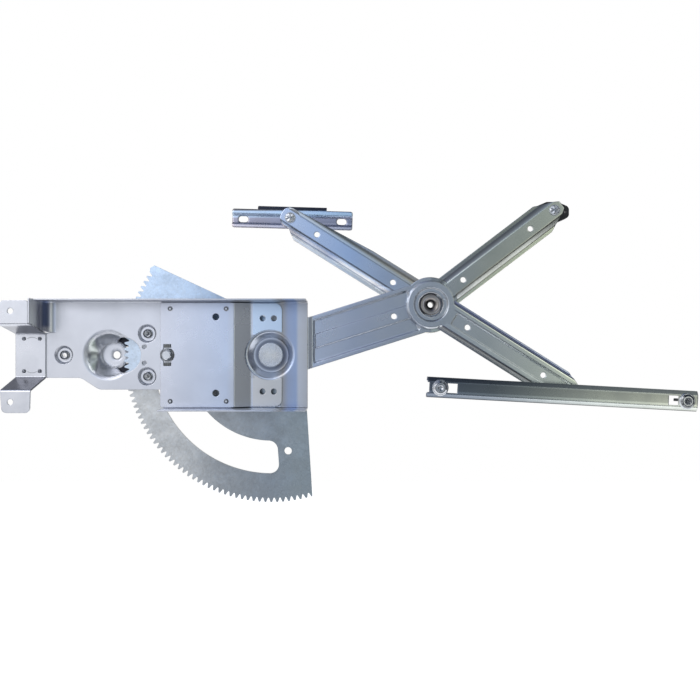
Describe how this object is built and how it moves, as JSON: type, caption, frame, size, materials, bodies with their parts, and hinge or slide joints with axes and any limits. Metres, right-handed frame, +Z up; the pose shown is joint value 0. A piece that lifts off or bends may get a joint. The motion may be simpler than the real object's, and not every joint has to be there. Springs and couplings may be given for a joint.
{
  "type": "window regulator",
  "caption": "Crossed-arm window regulator: stamped base with pinion dish, toothed sector and lift arm, pivoted equalizer arm, glass bracket and slotted guide rail.",
  "frame": {"origin": "centre of the motor shaft hole, on the front of the pinion dish floor", "axes": "+X from the motor end towards the far end of the guide rail, +Z up in the door, +Y away from the side that the motor is fitted from"},
  "size_m": [0.712, 0.0795, 0.3254],
  "materials": {
    "zinc_plate": "zinc-plated pressed sheet, smooth, slightly blue",
    "bright_zinc_plate": "bright zinc plating",
    "spangled_zinc": "zinc-coated sheet with a faint crystal pattern",
    "yellow_zinc": "yellow passivated zinc",
    "bronze": "sintered bearing bronze",
    "black_acetal": "moulded black acetal",
    "bumper_rubber": "moulded rubber"
  },
  "bodies": {
    "base": {"base_plate": "zinc_plate", "pivot_panel": "zinc_plate", "door_bracket": "bright_zinc_plate", "motor_nuts": "bright_zinc_plate", "panel_rivets": "bright_zinc_plate", "bracket_rivets": "bright_zinc_plate", "stop_stud": "bright_zinc_plate", "stop_bumper": "bumper_rubber", "main_pivot_pin": "bright_zinc_plate", "pivot_washer": "bright_zinc_plate"},
    "lift": {"sector_gear": "spangled_zinc", "sector_rivets": "bright_zinc_plate", "lift_arm": "zinc_plate", "pivot_bush": "bronze", "lift_stud": "bright_zinc_plate"},
    "equalizer": {"equalizer_arm_front": "zinc_plate", "equalizer_arm_rear": "zinc_plate", "scissor_rivet": "yellow_zinc", "hub_washers": "bright_zinc_plate", "bracket_stud": "bright_zinc_plate", "rail_stud": "bright_zinc_plate"},
    "glass_carrier": {"glass_bracket": "zinc_plate", "glass_bush": "black_acetal"},
    "channel_shoe": {"lift_shoe": "black_acetal"},
    "slider": {"rail_shoe": "black_acetal"},
    "rail": {"guide_rail": "zinc_plate", "rail_nuts": "bright_zinc_plate"}
  },
  "joints": [
    {"name": "lift_arm_pivot", "type": "hinge", "parent": "base", "child": "lift", "pos_m": [0.167, 0, 0], "axis": [0, -1, 0], "range_deg": [-75, 14]},
    {"name": "scissor_pivot", "type": "hinge", "parent": "lift", "child": "equalizer", "pos_m": [0.33819, 0, 0.05398], "axis": [0, -1, 0], "range_deg": [-28, 150]},
    {"name": "glass_bracket_pivot", "type": "hinge", "parent": "equalizer", "child": "glass_carrier", "pos_m": [0.1863, 0, 0.14963], "axis": [0, -1, 0], "range_deg": [-75, 14]},
    {"name": "lift_shoe_pivot", "type": "hinge", "parent": "lift", "child": "channel_shoe", "pos_m": [0.47263, 0, 0.15639], "axis": [0, -1, 0], "range_deg": [-14, 75]},
    {"name": "rail_shoe_pivot", "type": "hinge", "parent": "equalizer", "child": "slider", "pos_m": [0.49008, 0, -0.04167], "axis": [0, -1, 0], "range_deg": [-75, 14]},
    {"name": "guide_rail_slide", "type": "slide", "parent": "slider", "child": "rail", "axis": [0.9985, 0, -0.0541], "range_m": [-0.035, 0.096]}
  ],
  "couplings": [
    {"joint": "scissor_pivot", "follows": "lift_arm_pivot", "ratio": -2},
    {"joint": "glass_bracket_pivot", "follows": "lift_arm_pivot", "ratio": 1},
    {"joint": "lift_shoe_pivot", "follows": "lift_arm_pivot", "ratio": -1},
    {"joint": "rail_shoe_pivot", "follows": "lift_arm_pivot", "ratio": 1}
  ]
}
